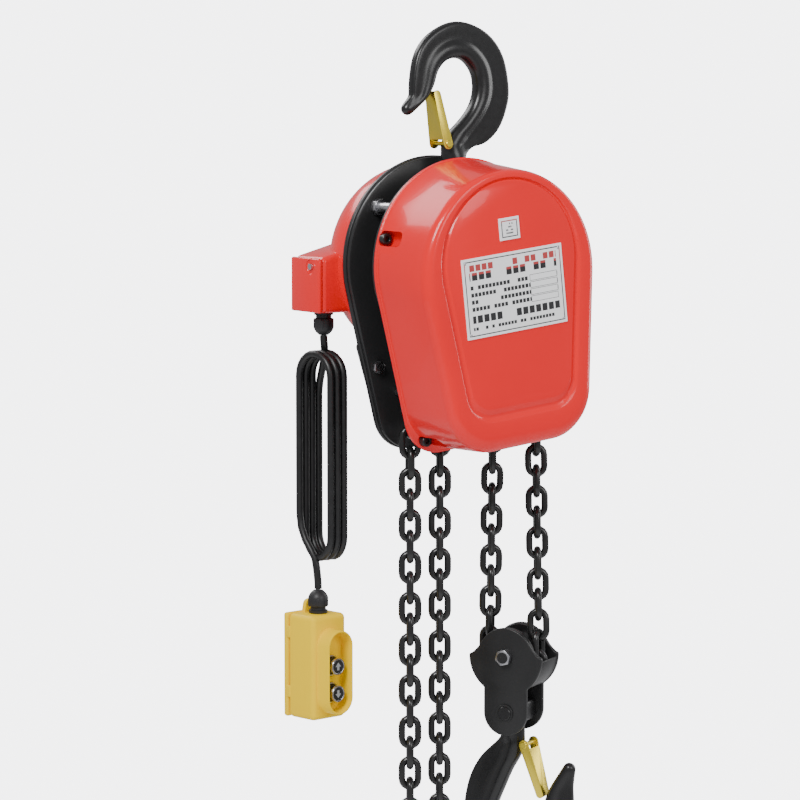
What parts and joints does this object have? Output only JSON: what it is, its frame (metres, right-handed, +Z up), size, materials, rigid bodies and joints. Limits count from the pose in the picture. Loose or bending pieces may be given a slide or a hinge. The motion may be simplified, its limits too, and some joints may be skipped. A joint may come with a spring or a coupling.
{
  "type": "electric chain hoist",
  "caption": "Electric chain hoist hung by a top hook: red pressed housing, round-link chain in two falls to a hook block, slack loop, coiled pendant cord and a yellow push-button pendant.",
  "frame": {"origin": "inside top of the top hook's bowl, where the hoist hangs", "axes": "+Z up along the hook's shank; the front cover faces -Y and the top hook opens to -X"},
  "size_m": [0.2864, 0.2652, 1.0149],
  "materials": {
    "red_enamel": "gloss enamel",
    "black_steel": "satin black paint",
    "forged_black": "forged, blackened",
    "chain_black": "blackened, bright edges",
    "steel": "zinc plated",
    "machined": "machined",
    "latch_gold": "yellow passivated pressing",
    "plate_silver": "printed plate, left blank",
    "copper": "varnished windings",
    "yellow_plastic": "moulded",
    "black_plastic": "moulded",
    "cord_rubber": "smooth jacket"
  },
  "bodies": {
    "top_hook": {"top_hook": "forged_black", "top_hook_nut": "steel"},
    "top_latch": {"top_latch": "latch_gold"},
    "crosshead": {"top_crosshead": "black_steel"},
    "hoist_body": {"front_side_plate": "black_steel", "rear_side_plate": "black_steel", "stay_bolt_left": "steel", "stay_bolt_right": "steel", "stay_bolt_bottom": "steel", "fall_anchor_pin": "steel", "slack_anchor_pin": "steel", "front_bearing": "machined", "rear_bearing": "machined", "chain_stripper": "black_steel", "front_cover": "red_enamel", "rating_plate": "plate_silver", "cover_screw_1": "black_steel", "cover_screw_2": "black_steel", "cover_screw_3": "black_steel", "cover_screw_4": "black_steel", "gear_case": "machined", "motor_flange": "black_steel", "motor_housing": "red_enamel", "stator": "copper", "control_box": "black_steel", "junction_box": "red_enamel", "junction_box_lid": "red_enamel", "lid_screw": "steel", "junction_gland": "black_plastic", "cord_upper": "cord_rubber", "cord_hank": "cord_rubber", "cord_lower": "cord_rubber", "pendant_gland": "black_plastic", "pendant_housing": "yellow_plastic", "pendant_rear_cover": "yellow_plastic", "contact_block": "black_plastic", "chain_on_sheave": "chain_black", "slack_chain": "chain_black", "running_fall": "chain_black", "dead_fall": "chain_black"},
    "load_sheave": {"load_sheave": "machined", "output_gear": "machined"},
    "intermediate_gear": {"intermediate_gear": "machined"},
    "rotor": {"motor_shaft": "machined", "motor_rotor": "machined", "brake_disc": "steel"},
    "up_button": {"up_button": "black_plastic"},
    "down_button": {"down_button": "black_plastic"},
    "hook_block": {"block_front_plate": "black_steel", "block_rear_plate": "black_steel", "block_guard_left": "black_steel", "block_guard_right": "black_steel", "idler_bolt": "black_steel", "idler_nut": "steel", "chain_on_idler": "chain_black"},
    "idler_sheave": {"idler_sheave": "machined"},
    "hook_trunnion": {"hook_trunnion": "forged_black"},
    "bottom_hook": {"bottom_hook": "forged_black", "bottom_hook_nut": "steel"},
    "bottom_latch": {"bottom_latch": "latch_gold"}
  },
  "joints": [
    {"name": "top_swivel", "type": "hinge", "parent": "top_hook", "child": "crosshead", "pos_m": [0, 0, -0.14], "axis": [0, 0, 1], "continuous": true},
    {"name": "hoist_tilt", "type": "hinge", "parent": "crosshead", "child": "hoist_body", "pos_m": [0, 0, -0.14], "axis": [0, 1, 0], "range_deg": [-10, 10]},
    {"name": "top_latch_swing", "type": "hinge", "parent": "top_hook", "child": "top_latch", "pos_m": [-0.017, 0, -0.097], "axis": [0, 1, 0], "range_deg": [0, 36], "stiffness_Nm_per_rad": 0.05, "springref_deg": -28.65},
    {"name": "hook_lift", "type": "slide", "parent": "hoist_body", "child": "hook_block", "axis": [0, 0, 1], "range_m": [0, 0.12], "deforming": ["running_fall", "dead_fall"]},
    {"name": "load_sheave_spin", "type": "hinge", "parent": "hoist_body", "child": "load_sheave", "pos_m": [0.0205, 0, -0.233], "axis": [0, 1, 0], "range_deg": [-356.11, 2]},
    {"name": "intermediate_gear_spin", "type": "hinge", "parent": "hoist_body", "child": "intermediate_gear", "pos_m": [-0.02499, 0, -0.21769], "axis": [0, 1, 0], "range_deg": [-2, 1064.32]},
    {"name": "rotor_spin", "type": "hinge", "parent": "hoist_body", "child": "rotor", "pos_m": [0.0205, 0, -0.233], "axis": [0, 1, 0], "range_deg": [-3188.97, 2]},
    {"name": "idler_spin", "type": "hinge", "parent": "hook_block", "child": "idler_sheave", "pos_m": [0.0825, -0.0085, -0.6944], "axis": [-0.866, -0.5, 0], "range_deg": [-221.26, 2]},
    {"name": "hook_tilt", "type": "hinge", "parent": "hook_block", "child": "hook_trunnion", "pos_m": [0.0825, -0.0085, -0.7609], "axis": [-0.866, -0.5, 0], "range_deg": [-25, 25]},
    {"name": "hook_swivel", "type": "hinge", "parent": "hook_trunnion", "child": "bottom_hook", "pos_m": [0.0825, -0.0085, -0.7609], "axis": [0, 0, 1], "continuous": true},
    {"name": "bottom_latch_swing", "type": "hinge", "parent": "bottom_hook", "child": "bottom_latch", "pos_m": [0.092, -0.02495, -0.7994], "axis": [-0.866, -0.5, 0], "range_deg": [-38, 0], "stiffness_Nm_per_rad": 0.05, "springref_deg": 28.65},
    {"name": "up_button_press", "type": "slide", "parent": "hoist_body", "child": "up_button", "axis": [-0.1564, 0.9877, 0], "range_m": [0, 0.006], "stiffness_N_per_m": 400, "springref_m": -0.008},
    {"name": "down_button_press", "type": "slide", "parent": "hoist_body", "child": "down_button", "axis": [-0.1564, 0.9877, 0], "range_m": [0, 0.006], "stiffness_N_per_m": 400, "springref_m": -0.008}
  ],
  "couplings": [
    {"joint": "load_sheave_spin", "follows": "hook_lift", "rad_per_m": -51.503},
    {"joint": "intermediate_gear_spin", "follows": "hook_lift", "rad_per_m": 154.51},
    {"joint": "rotor_spin", "follows": "hook_lift", "rad_per_m": -463.53},
    {"joint": "idler_spin", "follows": "hook_lift", "rad_per_m": -31.89}
  ]
}
